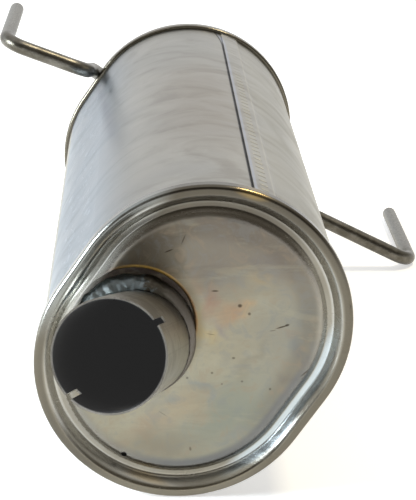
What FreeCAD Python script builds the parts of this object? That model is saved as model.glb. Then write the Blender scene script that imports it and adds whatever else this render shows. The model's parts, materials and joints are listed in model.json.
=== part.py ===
import FreeCAD, Part
import math
import os

# Rear muffler, resting on its rims and on its right hanger.
# Lengths are in millimetres and angles in degrees. X is to the right, Y runs along the
# body from the inlet end to the rear end, and Z is up.
# The pieces are built about the centre of the front rim, then set on the floor.

# Body
BODY_LENGTH = 415.0
RIM_RADIUS = 74.2
ARC_SPREAD = 27.0
OVAL_TILT = 55.7
SHEET = 1.0
SEAT_GAP = 0.2

# Rolled rim: the cap's edge is folded over the flange of the shell
RIM_WIDTH = 5.0
RIM_DEPTH = 8.7
RIM_FOLD_RADIUS = 1.9
HEM_FOLD_RADIUS = 0.59

# End caps: a groove inside the rim, then a raised flat panel
GROOVE_DEPTH = 6.5
GROOVE_OUTER = 7.7
GROOVE_INNER = 13.0
PANEL_EDGE = 17.0
FRONT_PANEL_DEPTH = 3.6
REAR_PANEL_DEPTH = -3.0
GROOVE_FOLD = 2.5
PANEL_FOLD = 6.0

# Lap seam of the shell
SEAM_ANGLE = 71.6
SEAM_LAP = 11.2
SEAM_SLOPE = 3.0
SEAM_FLARE = 4.0
SEAM_FLARE_LENGTH = 42.0

# Inlet pipe, with a clamp slot on each side
INLET_DIAMETER = 55.0
INLET_WALL = 1.2
INLET_X = -29.3
INLET_Z = 0.0
INLET_REACH = 89.9
INLET_INSIDE = 24.0
INLET_SWING = 8.3
INLET_RISE = 17.4
SLOT_WIDTH = 3.4
SLOT_LENGTH = 27.0
SLOT_ANGLES = (38.0, 228.0)
INLET_WELD_RADIUS = 5.0
INLET_WELD_SHIFT = 4.2

# Sloping pocket of the front cap: level with the panel under the pipe, deepest where the pipe leans
POCKET_RADIUS = 32.3
POCKET_X = -30.3
POCKET_Z = 10.0
POCKET_DEPTH = 9.5
POCKET_FOLD = 1.6

# Drain hole low in the front cap
DRAIN_DIAMETER = 2.6
DRAIN_X = -35.7
DRAIN_Z = -62.3

# Inner tubes: places are along the long and the short axis of the oval, and rooms are to the shell
TUBE_WALL = 1.2
INLET_TUBE_SETBACK = 12.0
INLET_TUBE_BEND = 60.0
INLET_TUBE_BEND_Y = 42.0
INLET_TUBE_END = 240.0
OUTLET_PLACE = (36.0, 8.0)
OUTLET_TUBE_START = 150.0
RETURN_DIAMETER = 38.0
LONG_RETURN_ALONG = 2.0
LONG_RETURN_ROOM = 4.8
LONG_RETURN_SPAN = (85.0, 240.0)
SHORT_RETURN_ALONG = 28.0
SHORT_RETURN_ROOM = 9.4
SHORT_RETURN_SPAN = (85.0, 140.0)
PERFORATION_DIAMETER = 6.0
PERFORATION_PITCH = 15.0
PERFORATIONS_AROUND = 6

# Baffles and packing
BAFFLE_PLACES = {"front_baffle": 110.0, "middle_baffle": 215.0, "rear_baffle": 320.0}
BAFFLE_FLANGE = 12.0
BAFFLE_FOLD = 3.0
COLLAR_LENGTH = 6.0
STEEL_WOOL_THICKNESS = 4.0
PACK_END_ROOM = 2.5

# Outlet pipe on the rear cap
OUTLET_DIAMETER = 42.0
OUTLET_WALL = 1.2
OUTLET_REACH = 60.0
OUTLET_INSIDE = 14.0
OUTLET_WELD_RADIUS = 4.0

# Hanger rods: places are along the long axis of the oval, then out from the rim
ROD_DIAMETER = 10.0
ROD_BEND = 14.0
ROD_TIP_ROUND = 3.5
ELBOW_BEFORE_REAR = 43.0
PIN_LENGTH = 122.0
LEFT_START = (1.1, -51.7)
LEFT_OVER_RIM = (6.8, 3.7)
LEFT_SHOULDER = (13.2, 13.0)
LEFT_ELBOW = (-1.1, 69.9)
RIGHT_START = (-2.0, -46.0)
RIGHT_OVER_RIM = (13.2, 3.7)
RIGHT_SHOULDER = (15.1, 15.2)
RIGHT_REACH = 86.4
ROD_WELD_RADIUS = 4.5
ROD_WELD_LENGTH = 26.0

# Worked out from the sizes above
HALF_SPREAD = ARC_SPREAD / 2
CENTRE_HEIGHT = RIM_RADIUS + HALF_SPREAD * math.sin(math.radians(OVAL_TILT))
ROD_RADIUS = ROD_DIAMETER / 2
HEM_OUTER = RIM_RADIUS - SHEET - 3 * SEAT_GAP
SHELL_RADIUS = HEM_OUTER - SHEET - SEAT_GAP
SHELL_INSIDE = SHELL_RADIUS - SHEET
INLET_RADIUS = INLET_DIAMETER / 2
OUTLET_RADIUS = OUTLET_DIAMETER / 2
INLET_TUBE_RADIUS = INLET_RADIUS + SEAT_GAP + TUBE_WALL
OUTLET_TUBE_RADIUS = OUTLET_RADIUS + SEAT_GAP + TUBE_WALL
LONG_RETURN_PLACE = (LONG_RETURN_ALONG, SHELL_INSIDE - LONG_RETURN_ROOM - RETURN_DIAMETER / 2)
SHORT_RETURN_PLACE = (SHORT_RETURN_ALONG, SHORT_RETURN_ROOM + RETURN_DIAMETER / 2 - SHELL_INSIDE)
PANEL_END = RIM_RADIUS - PANEL_EDGE - PANEL_FOLD
REAR_PANEL_Y = BODY_LENGTH - REAR_PANEL_DEPTH
ORIGIN = FreeCAD.Vector(0, 0, 0)
ALONG = FreeCAD.Vector(0, 1, 0)
FAR = 3 * RIM_RADIUS


def rounded_path(points, radii):
    """Edges of a line through the points, with an arc of the given radius at each corner."""
    edges = []
    start = points[0]
    for before, corner, after, radius in zip(points, points[1:], points[2:], radii):
        back = (before - corner).normalize()
        ahead = (after - corner).normalize()
        half_angle = back.getAngle(ahead) / 2
        reach = radius / math.tan(half_angle)
        middle = (back + ahead).normalize() * (radius / math.sin(half_angle) - radius)
        arc_start = corner + back * reach
        arc_end = corner + ahead * reach
        edges.append(Part.LineSegment(start, arc_start).toShape())
        edges.append(Part.Arc(arc_start, corner + middle, arc_end).toShape())
        start = arc_end
    edges.append(Part.LineSegment(start, points[-1]).toShape())
    return edges


def beside(points, distance):
    """The same line, moved sideways in its own plane. Positive is to the left."""
    moved = []
    headings = [(b - a).normalize() for a, b in zip(points, points[1:])]
    for index, point in enumerate(points):
        first = headings[max(index - 1, 0)]
        second = headings[min(index, len(headings) - 1)]
        normal = FreeCAD.Vector(-first.y - second.y, first.x + second.x, 0).normalize()
        lean = normal.dot(FreeCAD.Vector(-first.y, first.x, 0))
        moved.append(point + normal * (distance / lean))
    return moved


def face_inside(edges, points):
    """A flat face inside the edges, closed with straight lines through the points."""
    lines = [Part.LineSegment(a, b).toShape() for a, b in zip(points, points[1:])]
    return Part.Face(Part.Wire(Part.__sortEdges__(edges + lines)))


def bent_line(points, radii, distance):
    """The bent line through the points, moved sideways, with its two ends."""
    turns = [(b - a).cross(c - b).z for a, b, c in zip(points, points[1:], points[2:])]
    moved = beside(points, distance)
    moved_radii = [radius - math.copysign(distance, distance * turn) for radius, turn in zip(radii, turns)]
    return rounded_path(moved, moved_radii), moved[0], moved[-1]


def sheet_section(corners, radii, thickness):
    """Section of folded sheet along a centre line. X is radial and Y is axial."""
    points = [FreeCAD.Vector(x, y, 0) for x, y in corners]
    left, left_start, left_end = bent_line(points, radii, thickness / 2)
    right, right_start, right_end = bent_line(points, radii, -thickness / 2)
    ends = [Part.LineSegment(left_end, right_end).toShape()]
    return face_inside(left + right + ends, [right_start, left_start])


def section_behind(corners, radii, thickness):
    """Section of all the room behind the front of the same sheet."""
    points = [FreeCAD.Vector(x, y, 0) for x, y in corners]
    front, start, end = bent_line(points, radii, thickness / 2)
    return face_inside(front, [end, FreeCAD.Vector(end.x, FAR, 0), FreeCAD.Vector(start.x, FAR, 0), start])


def around_oval(section):
    """Sweep a section round the oval. Its X is measured from the end-arc centres."""
    section = section.copy()
    section.rotate(ORIGIN, ALONG, -90)
    side = section.copy()
    side.translate(FreeCAD.Vector(-HALF_SPREAD, 0, 0))
    straight = side.extrude(FreeCAD.Vector(ARC_SPREAD, 0, 0))
    other_straight = straight.copy()
    other_straight.rotate(ORIGIN, ALONG, 180)
    section.translate(FreeCAD.Vector(HALF_SPREAD, 0, 0))
    end = section.revolve(FreeCAD.Vector(HALF_SPREAD, 0, 0), ALONG, 180)
    other_end = end.copy()
    other_end.rotate(ORIGIN, ALONG, 180)
    ring = end.fuse([straight, other_end, other_straight]).removeSplitter()
    return tilted(ring)


def oval_block(radius, start, end):
    """A solid block with the oval outline, between two places along the body."""
    block = Part.makeBox(ARC_SPREAD, end - start, 2 * radius, FreeCAD.Vector(-HALF_SPREAD, start, -radius))
    for side in (-HALF_SPREAD, HALF_SPREAD):
        block = block.fuse(Part.makeCylinder(radius, end - start, FreeCAD.Vector(side, start, 0), ALONG))
    return tilted(block.removeSplitter())


def tilted(shape):
    """Roll a shape from the long axis level to the way the muffler lies."""
    shape.rotate(ORIGIN, ALONG, -OVAL_TILT)
    return shape


def oval_point(place, y):
    """A point from its places along the long and the short axis of the oval."""
    angle = math.radians(OVAL_TILT)
    along_x = place[0] * math.cos(angle) + place[1] * math.sin(angle)
    along_z = place[0] * math.sin(angle) - place[1] * math.cos(angle)
    return FreeCAD.Vector(along_x, y, along_z)


def straight_tube(start, direction, length, radius, wall):
    """A plain round tube."""
    outside = Part.makeCylinder(radius, length, start, direction)
    return outside.cut(Part.makeCylinder(radius - wall, length, start, direction))


def swept_rod(points, radii, radius):
    """A round bar along a path of straight runs and bends."""
    path = Part.Wire(rounded_path(points, radii))
    heading = (points[1] - points[0]).normalize()
    circle = Part.Wire(Part.makeCircle(radius, points[0], heading))
    return path.makePipeShell([circle], True, False)


def perforated(tube, centre, start, end, radius):
    """Drill staggered rows of small holes through a straight stretch along the body."""
    drills = []
    rows = int((end - start) // PERFORATION_PITCH)
    for row in range(rows):
        y = start + (row + 0.5) * PERFORATION_PITCH
        for step in range(PERFORATIONS_AROUND):
            angle = 2 * math.pi * (step + 0.5 * (row % 2)) / PERFORATIONS_AROUND
            outward = FreeCAD.Vector(math.cos(angle), 0, math.sin(angle))
            foot = FreeCAD.Vector(centre.x, y, centre.z) + outward * (radius / 2)
            drills.append(Part.makeCylinder(PERFORATION_DIAMETER / 2, radius, foot, outward))
    return tube.cut(drills)


def inlet_direction():
    """The way out of the inlet pipe."""
    swing = math.radians(INLET_SWING)
    rise = math.radians(INLET_RISE)
    level = math.cos(rise)
    return FreeCAD.Vector(-math.sin(swing) * level, -math.cos(swing) * level, math.sin(rise))


def inlet_foot():
    """Where the inlet axis meets the plane of the front panel."""
    return FreeCAD.Vector(INLET_X, FRONT_PANEL_DEPTH, INLET_Z)


def inlet_lean():
    """The way the inlet pipe leans across the cap."""
    out = inlet_direction()
    return FreeCAD.Vector(out.x, 0, out.z).normalize()


def pocket_foot():
    """The middle of the pocket, in the plane of the panel."""
    return FreeCAD.Vector(POCKET_X, FRONT_PANEL_DEPTH, POCKET_Z)


def pocket_level():
    """Under the inlet pipe, where the pocket's floor is level with the panel."""
    return inlet_foot() - inlet_lean() * INLET_RADIUS


def pocket_normal():
    """The way into the body, square to the pocket's floor."""
    lean = inlet_lean()
    run = (pocket_foot() - pocket_level()).dot(lean) + POCKET_RADIUS
    return (ALONG - lean * (POCKET_DEPTH / run)).normalize()


def inlet_seat():
    """Where the inlet axis meets the pocket's floor."""
    out = inlet_direction()
    normal = pocket_normal()
    foot = inlet_foot()
    return foot + out * ((pocket_level() - foot).dot(normal) / out.dot(normal))


def inlet_tube_corner():
    """Where the inlet axis has reached the bend of the inner tube."""
    out = inlet_direction()
    return inlet_foot() + out * ((INLET_TUBE_BEND_Y - FRONT_PANEL_DEPTH) / out.y)


def make_shell():
    """The wrapped shell, hemmed outward at both ends, with its lap seam on top."""
    wall = SHELL_RADIUS - SHEET / 2
    hem = HEM_OUTER - SHEET / 2
    fold_y = SHEET + SEAT_GAP + SHEET / 2
    hem_end = RIM_DEPTH - SHEET - 1.5 * SEAT_GAP
    corners = [(hem, hem_end), (hem, fold_y), (wall, fold_y), (wall, BODY_LENGTH - fold_y),
               (hem, BODY_LENGTH - fold_y), (hem, BODY_LENGTH - hem_end)]
    shell = around_oval(sheet_section(corners, [HEM_FOLD_RADIUS] * 4, SHEET))
    return shell.fuse(make_seam_lap()).removeSplitter()


def make_seam_lap():
    """The upper layer of the lap. It ends in a square edge and slopes down on the other side."""
    start = RIM_DEPTH + SEAT_GAP
    end = BODY_LENGTH - start
    centre = oval_point((HALF_SPREAD, 0), 0)
    top = SHELL_RADIUS + SHEET
    root = SHELL_RADIUS - SHEET / 2
    edge = math.radians(SEAM_ANGLE)
    ridge = edge - SEAM_LAP / top
    foot = ridge - SEAM_SLOPE / SHELL_RADIUS

    def at(radius, angle):
        return centre + FreeCAD.Vector(radius * math.cos(angle), start, radius * math.sin(angle))

    outline = [
        Part.Arc(at(top, edge), at(top, (edge + ridge) / 2), at(top, ridge)).toShape(),
        Part.LineSegment(at(top, ridge), at(SHELL_RADIUS, foot)).toShape(),
        Part.LineSegment(at(SHELL_RADIUS, foot), at(root, foot)).toShape(),
        Part.Arc(at(root, foot), at(root, (edge + foot) / 2), at(root, edge)).toShape(),
        Part.LineSegment(at(root, edge), at(top, edge)).toShape(),
    ]
    lap = Part.Face(Part.Wire(outline)).extrude(ALONG * (end - start))
    return lap.fuse(make_seam_flare(centre, end))


def make_seam_flare(centre, end):
    """The corner of the upper layer, which widens in a curve towards the rear rim."""
    ring = straight_tube(centre + ALONG * (end - SEAM_FLARE_LENGTH), ALONG, SEAM_FLARE_LENGTH,
                         SHELL_RADIUS + SHEET, 1.5 * SHEET)
    edge = math.radians(SEAM_ANGLE)
    hinge = centre + FreeCAD.Vector(math.cos(edge), 0, math.sin(edge)) * (SHELL_RADIUS - SHEET)
    sideways = FreeCAD.Vector(-math.sin(edge), 0, math.cos(edge))
    begin = hinge + ALONG * (end - SEAM_FLARE_LENGTH)
    corner = hinge + ALONG * end
    wide = corner + sideways * SEAM_FLARE
    bulge = hinge + ALONG * (end - SEAM_FLARE_LENGTH * 0.4) + sideways * (SEAM_FLARE * 0.3)
    outline = [Part.Arc(begin, bulge, wide).toShape(), Part.LineSegment(wide, corner).toShape(),
               Part.LineSegment(corner, begin).toShape()]
    upward = FreeCAD.Vector(math.cos(edge), 0, math.sin(edge)) * (3 * SHEET)
    return ring.common(Part.Face(Part.Wire(outline)).extrude(upward))


def panel_corners(panel_depth):
    """Centre line of the cap's sheet from the groove to the flat of the panel, with its bends."""
    groove_y = GROOVE_DEPTH + SHEET / 2
    panel_y = panel_depth + SHEET / 2
    corners = [(RIM_RADIUS - GROOVE_OUTER, groove_y), (RIM_RADIUS - GROOVE_INNER, groove_y),
               (RIM_RADIUS - PANEL_EDGE, panel_y), (PANEL_END, panel_y)]
    return corners, [GROOVE_FOLD, PANEL_FOLD]


def make_cap(panel_depth):
    """An end cap at the front end: rolled rim, sloping wall, groove and raised panel."""
    half = SHEET / 2
    lip = SHELL_RADIUS + SEAT_GAP
    rim = [(lip, RIM_DEPTH - half), (RIM_RADIUS - half, RIM_DEPTH - half), (RIM_RADIUS - half, half),
           (RIM_RADIUS - RIM_WIDTH + half, half)]
    rim_radii = [SHEET, RIM_FOLD_RADIUS, RIM_FOLD_RADIUS, GROOVE_FOLD]
    inner, inner_radii = panel_corners(panel_depth)
    ring = around_oval(sheet_section(rim + inner, rim_radii + inner_radii, SHEET))
    return ring.fuse(oval_block(PANEL_END, panel_depth, panel_depth + SHEET)).removeSplitter()


def room_behind_panel(panel_depth):
    """All the room behind the front of the cap, inside its groove."""
    corners, radii = panel_corners(panel_depth)
    ring = around_oval(section_behind(corners, radii, SHEET))
    return ring.fuse(oval_block(PANEL_END, panel_depth, FAR)).removeSplitter()


def half_space(point, normal):
    """A large block that fills the side of a plane which the normal points to."""
    block = Part.makeBox(2 * FAR, 2 * FAR, FAR, FreeCAD.Vector(-FAR, -FAR, 0))
    block.Placement = FreeCAD.Placement(point, FreeCAD.Rotation(FreeCAD.Vector(0, 0, 1), normal))
    return block


def pocket_core(sheet_behind):
    """The round core of the pocket, with its folded edge, to a depth behind the sheet's front."""
    fold = POCKET_FOLD - sheet_behind
    wall = POCKET_RADIUS - POCKET_FOLD + sheet_behind
    bend = FreeCAD.Vector(POCKET_RADIUS, POCKET_FOLD, 0)
    middle = bend - FreeCAD.Vector(1, 1, 0).normalize() * fold
    start = bend - FreeCAD.Vector(0, fold, 0)
    end = bend - FreeCAD.Vector(fold, 0, 0)
    corners = [end, FreeCAD.Vector(wall, FAR, 0), FreeCAD.Vector(0, FAR, 0), FreeCAD.Vector(0, -SHEET, 0),
               FreeCAD.Vector(POCKET_RADIUS, -SHEET, 0), start]
    core = face_inside([Part.Arc(start, middle, end).toShape()], corners).revolve(ORIGIN, ALONG, 360)
    core.translate(pocket_foot())
    return core


def make_front_cap():
    """The front cap, with the sloping pocket, the hole for the inlet pipe and the drain hole."""
    normal = pocket_normal()
    before_floor = half_space(pocket_level(), normal * -1)
    before_floor_back = half_space(pocket_level() + normal * SHEET, normal * -1)
    pocket = pocket_core(SHEET).common(before_floor_back).common(room_behind_panel(FRONT_PANEL_DEPTH))
    cap = make_cap(FRONT_PANEL_DEPTH).fuse(pocket).cut(pocket_core(0).common(before_floor)).removeSplitter()
    outward = inlet_direction()
    pipe_hole = Part.makeCylinder(INLET_RADIUS + SEAT_GAP, FAR, inlet_foot() - outward * (FAR / 2), outward)
    drain = Part.makeCylinder(DRAIN_DIAMETER / 2, FAR, FreeCAD.Vector(DRAIN_X, -FAR / 2, DRAIN_Z), ALONG)
    return cap.cut([pipe_hole, drain])


def make_rear_cap():
    """The rear cap, with the hole for the outlet tube."""
    cap = make_cap(REAR_PANEL_DEPTH)
    cap = cap.mirror(FreeCAD.Vector(0, BODY_LENGTH / 2, 0), ALONG)
    start = oval_point(OUTLET_PLACE, BODY_LENGTH - FAR / 2)
    return cap.cut(Part.makeCylinder(OUTLET_RADIUS + SEAT_GAP, FAR, start, ALONG))


def make_inlet_pipe():
    """The inlet pipe, with its clamp slots cut from the mouth."""
    out = inlet_direction()
    mouth = inlet_foot() + out * INLET_REACH
    pipe = straight_tube(mouth, out * -1, INLET_REACH + INLET_INSIDE, INLET_RADIUS, INLET_WALL)
    sideways = out.cross(FreeCAD.Vector(0, 0, -1)).normalize()
    upward = out.cross(sideways)
    slots = []
    for degrees in SLOT_ANGLES:
        angle = math.radians(degrees)
        outward = sideways * math.cos(angle) + upward * math.sin(angle)
        across = outward.cross(out).normalize()
        corner = mouth + out - across * (SLOT_WIDTH / 2)
        edges = [corner, corner + across * SLOT_WIDTH]
        edges.append(edges[1] - out * (SLOT_LENGTH + 1))
        edges.append(edges[0] - out * (SLOT_LENGTH + 1))
        face = Part.Face(Part.makePolygon(edges + [edges[0]]))
        slots.append(face.extrude(outward * (2 * INLET_RADIUS)))
    return pipe.cut(slots)


def weld_ring(centre, normal, pipe_axis, pipe_radius, bead_radius, shift):
    """A convex weld round a pipe, on a plane that may slope. The shift makes one side wider."""
    ring = Part.makeTorus(pipe_radius + SEAT_GAP, bead_radius, centre + shift, normal)
    pipe = Part.makeCylinder(pipe_radius, FAR, centre - pipe_axis * (FAR / 2), pipe_axis)
    return ring.common(half_space(centre, normal)).cut(pipe)


def make_inlet_tube():
    """The inner inlet tube: it slips over the inlet pipe, bends level and is perforated."""
    start = inlet_foot() - inlet_direction() * INLET_TUBE_SETBACK
    corner = inlet_tube_corner()
    end = FreeCAD.Vector(corner.x, INLET_TUBE_END, corner.z)
    outside = swept_rod([start, corner, end], [INLET_TUBE_BEND], INLET_TUBE_RADIUS)
    tube = outside.cut(swept_rod([start, corner, end], [INLET_TUBE_BEND], INLET_TUBE_RADIUS - TUBE_WALL))
    first = BAFFLE_PLACES["front_baffle"] + COLLAR_LENGTH + SHEET
    last = BAFFLE_PLACES["middle_baffle"] - SHEET
    return perforated(tube, corner, first, last, INLET_TUBE_RADIUS)


def make_outlet_tube():
    """The inner outlet tube, perforated where the packing surrounds it."""
    start = oval_point(OUTLET_PLACE, OUTLET_TUBE_START)
    end = REAR_PANEL_Y - SHEET - SEAT_GAP
    tube = straight_tube(start, ALONG, end - OUTLET_TUBE_START, OUTLET_TUBE_RADIUS, TUBE_WALL)
    return perforated(tube, start, pack_start() + 1, pack_end() - 1, OUTLET_TUBE_RADIUS)


def make_return_tube(place, span):
    """A plain tube that leads gas back through the baffles."""
    start, end = span
    return straight_tube(oval_point(place, start), ALONG, end - start, RETURN_DIAMETER / 2, TUBE_WALL)


def make_baffle(y, tubes):
    """A flanged plate pressed into the shell, with a drawn collar for each tube."""
    half = SHEET / 2
    edge = SHELL_INSIDE - SEAT_GAP - half
    plate_end = edge - 3 * BAFFLE_FOLD
    corners = [(edge, y + BAFFLE_FLANGE), (edge, y + half), (plate_end, y + half)]
    ring = around_oval(sheet_section(corners, [BAFFLE_FOLD], SHEET))
    baffle = ring.fuse(oval_block(plate_end, y, y + SHEET))
    for centre, radius in tubes:
        foot = FreeCAD.Vector(centre.x, y, centre.z)
        hole = radius + SEAT_GAP
        baffle = baffle.fuse(Part.makeCylinder(hole + SHEET, COLLAR_LENGTH, foot, ALONG))
        baffle = baffle.cut(Part.makeCylinder(hole, COLLAR_LENGTH, foot, ALONG))
    return baffle.removeSplitter()


def pack_start():
    """Where the packing begins, behind the rear baffle's collar."""
    return BAFFLE_PLACES["rear_baffle"] + BAFFLE_FLANGE + SEAT_GAP


def pack_end():
    """Where the packing ends, before the groove of the rear cap."""
    return BODY_LENGTH - GROOVE_DEPTH - SHEET - PACK_END_ROOM


def make_steel_wool():
    """The steel wool sleeve round the perforated stretch of the outlet tube."""
    start = oval_point(OUTLET_PLACE, pack_start())
    radius = OUTLET_TUBE_RADIUS + SEAT_GAP + STEEL_WOOL_THICKNESS
    return straight_tube(start, ALONG, pack_end() - pack_start(), radius, STEEL_WOOL_THICKNESS)


def make_wool_pack():
    """The sound-absorbing pack, which fills the rear chamber round the sleeve."""
    block = oval_block(SHELL_INSIDE - 1.5 * SEAT_GAP, pack_start(), pack_end())
    sleeve_radius = OUTLET_TUBE_RADIUS + STEEL_WOOL_THICKNESS + 2 * SEAT_GAP
    start = oval_point(OUTLET_PLACE, pack_start())
    return block.cut(Part.makeCylinder(sleeve_radius, pack_end() - pack_start(), start, ALONG))


def make_outlet_pipe():
    """The outlet pipe, slipped into the inner tube and welded to the rear cap."""
    start = REAR_PANEL_Y - OUTLET_INSIDE
    length = OUTLET_INSIDE + OUTLET_REACH
    return straight_tube(oval_point(OUTLET_PLACE, start), ALONG, length, OUTLET_RADIUS, OUTLET_WALL)


def rod_corner(place, side, y):
    """A corner of a hanger rod. The side is -1 on the left and 1 on the right."""
    return oval_point((place[0], side * (RIM_RADIUS + place[1])), y)


def rod_points(side, start, over_rim, shoulder):
    """Corners of a hanger rod: along the rear cap, over the rim, then out past its shoulder."""
    behind = REAR_PANEL_Y + ROD_RADIUS + SEAT_GAP / 2
    before = BODY_LENGTH - ELBOW_BEFORE_REAR
    return [rod_corner(start, side, behind), rod_corner(over_rim, side, behind),
            rod_corner(shoulder, side, before)]


def left_rod_points():
    """Corners of the left rod, which ends in a pin along the body."""
    points = rod_points(-1, LEFT_START, LEFT_OVER_RIM, LEFT_SHOULDER)
    elbow = rod_corner(LEFT_ELBOW, -1, points[-1].y)
    return points + [elbow, elbow + ALONG * PIN_LENGTH]


def right_rod_points():
    """Corners of the right rod, whose pin lies on the floor."""
    points = rod_points(1, RIGHT_START, RIGHT_OVER_RIM, RIGHT_SHOULDER)
    elbow = FreeCAD.Vector(points[-1].x + RIGHT_REACH, points[-1].y, ROD_RADIUS - CENTRE_HEIGHT)
    return points + [elbow, elbow + ALONG * PIN_LENGTH]


def make_hanger(points):
    """A bent hanger rod with a rounded tip."""
    rod = swept_rod(points, [ROD_BEND] * 3, ROD_RADIUS)
    tip = [edge for edge in rod.Edges if abs(edge.BoundBox.YMin - points[-1].y) < 0.01]
    return rod.makeFillet(ROD_TIP_ROUND, tip)


def make_rod_weld(points, rod):
    """A weld along each side of the rod, where it lies on the rear cap."""
    heading = (points[1] - points[0]).normalize()
    sideways = heading.cross(ALONG)
    above = Part.makeBox(2 * FAR, FAR, 2 * FAR, FreeCAD.Vector(-FAR, REAR_PANEL_Y, -FAR))
    beads = []
    for side in (-1, 1):
        foot = points[0] + heading * (ROD_WELD_RADIUS / 2) + sideways * (side * ROD_RADIUS * 0.8)
        foot.y = REAR_PANEL_Y
        bead = Part.makeCylinder(ROD_WELD_RADIUS, ROD_WELD_LENGTH, foot, heading)
        bead = bead.fuse(Part.makeSphere(ROD_WELD_RADIUS, foot + heading * ROD_WELD_LENGTH))
        beads.append(bead.common(above).cut(rod))
    return Part.makeCompound(beads)


def build():
    """All pieces by name, in the frame of the front rim."""
    outlet_place = oval_point(OUTLET_PLACE, REAR_PANEL_Y)
    inlet_hole = (inlet_tube_corner(), INLET_TUBE_RADIUS)
    outlet_hole = (outlet_place, OUTLET_TUBE_RADIUS)
    long_return_hole = (oval_point(LONG_RETURN_PLACE, 0), RETURN_DIAMETER / 2)
    short_return_hole = (oval_point(SHORT_RETURN_PLACE, 0), RETURN_DIAMETER / 2)
    baffle_tubes = {
        "front_baffle": [inlet_hole, long_return_hole, short_return_hole],
        "middle_baffle": [inlet_hole, long_return_hole, outlet_hole],
        "rear_baffle": [outlet_hole],
    }
    left = left_rod_points()
    right = right_rod_points()
    pieces = {
        "outer_shell": make_shell(),
        "front_end_cap": make_front_cap(),
        "rear_end_cap": make_rear_cap(),
        "inlet_pipe": make_inlet_pipe(),
        "inlet_weld": weld_ring(inlet_seat(), pocket_normal() * -1, inlet_direction(), INLET_RADIUS,
                                INLET_WELD_RADIUS, inlet_lean() * INLET_WELD_SHIFT),
        "inlet_tube": make_inlet_tube(),
        "outlet_tube": make_outlet_tube(),
        "long_return_tube": make_return_tube(LONG_RETURN_PLACE, LONG_RETURN_SPAN),
        "short_return_tube": make_return_tube(SHORT_RETURN_PLACE, SHORT_RETURN_SPAN),
        "steel_wool_sleeve": make_steel_wool(),
        "wool_pack": make_wool_pack(),
        "outlet_pipe": make_outlet_pipe(),
        "outlet_weld": weld_ring(outlet_place, ALONG, ALONG, OUTLET_RADIUS, OUTLET_WELD_RADIUS, ORIGIN),
        "hanger_left": make_hanger(left),
        "hanger_right": make_hanger(right),
    }
    pieces["inlet_weld"] = pieces["inlet_weld"].cut(pieces["front_end_cap"])
    pieces["hanger_left_weld"] = make_rod_weld(left, pieces["hanger_left"])
    pieces["hanger_right_weld"] = make_rod_weld(right, pieces["hanger_right"])
    for name, y in BAFFLE_PLACES.items():
        pieces[name] = make_baffle(y, baffle_tubes[name])
    return pieces


def main():
    """Set the pieces on the floor, centre them and write one file for each."""
    pieces = build()
    box = Part.makeCompound(list(pieces.values())).optimalBoundingBox(False, False)
    move = FreeCAD.Vector(-box.Center.x, -box.Center.y, CENTRE_HEIGHT)
    os.makedirs("parts", exist_ok=True)
    for name, shape in pieces.items():
        shape.translate(move)
        shape.exportStep(f"parts/{name}.step")
    print("centre of the front rim", move)


main()
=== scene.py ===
import json
import math

import bpy
from mathutils import Matrix, Vector
from mathutils.noise import noise as noise_at


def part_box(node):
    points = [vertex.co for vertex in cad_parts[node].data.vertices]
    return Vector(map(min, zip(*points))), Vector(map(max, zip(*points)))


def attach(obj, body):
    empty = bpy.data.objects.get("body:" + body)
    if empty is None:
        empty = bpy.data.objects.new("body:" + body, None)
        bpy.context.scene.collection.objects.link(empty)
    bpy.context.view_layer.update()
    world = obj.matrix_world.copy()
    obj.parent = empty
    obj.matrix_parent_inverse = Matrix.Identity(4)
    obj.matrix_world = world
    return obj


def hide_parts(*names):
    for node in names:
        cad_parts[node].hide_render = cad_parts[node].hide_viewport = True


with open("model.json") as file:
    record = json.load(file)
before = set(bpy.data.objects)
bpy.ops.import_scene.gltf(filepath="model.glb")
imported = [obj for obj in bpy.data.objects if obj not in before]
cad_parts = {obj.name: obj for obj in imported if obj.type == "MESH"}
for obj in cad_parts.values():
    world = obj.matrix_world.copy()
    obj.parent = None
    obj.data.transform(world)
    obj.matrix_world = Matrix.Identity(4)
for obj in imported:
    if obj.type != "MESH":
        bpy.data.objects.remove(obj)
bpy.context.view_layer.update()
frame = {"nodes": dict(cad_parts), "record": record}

WHITE = (1.0, 1.0, 1.0, 1.0)

# Floor, and the light that comes from each side
FLOOR_HALF = 12.0
FLOOR_COLOUR = (0.85, 0.85, 0.85, 1.0)
FLOOR_GLOW = 0.55
SKY_LEFT = (1.0, 1.05, 1.1, 1.0)
SKY_BEHIND = WHITE
SKY_RIGHT = (0.48, 0.46, 0.41, 1.0)
SKY_FRONT = (0.15, 0.135, 0.11, 1.0)
SKY_LIGHT = 0.6

# Lamps: place, size, power and colour, and the point they face
KEY_LAMP = ((-1.86, -0.40, 0.66), 0.75, 58.0, (0.84, 0.93, 1.0))
TOP_LAMP = ((0.65, 0.2, 1.65), 0.3, 12.0, (1.0, 0.88, 0.62))
LAMP_AIM = (0.0, 0.0, 0.08)

# Camera, from the vanishing point of the body's long lines
CAMERA_BACK = 0.857
CAMERA_LEFT = 0.0278
CAMERA_RISE = 0.3347
CAMERA_RIGHT = (0.99927, -0.03637, 0.01201)
CAMERA_UP = (0.0, 0.31364, 0.94954)
CAMERA_LENS = 129.6
CAMERA_SENSOR = 36.0
CAMERA_NEAR = 0.05
CAMERA_FAR = 100.0

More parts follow.
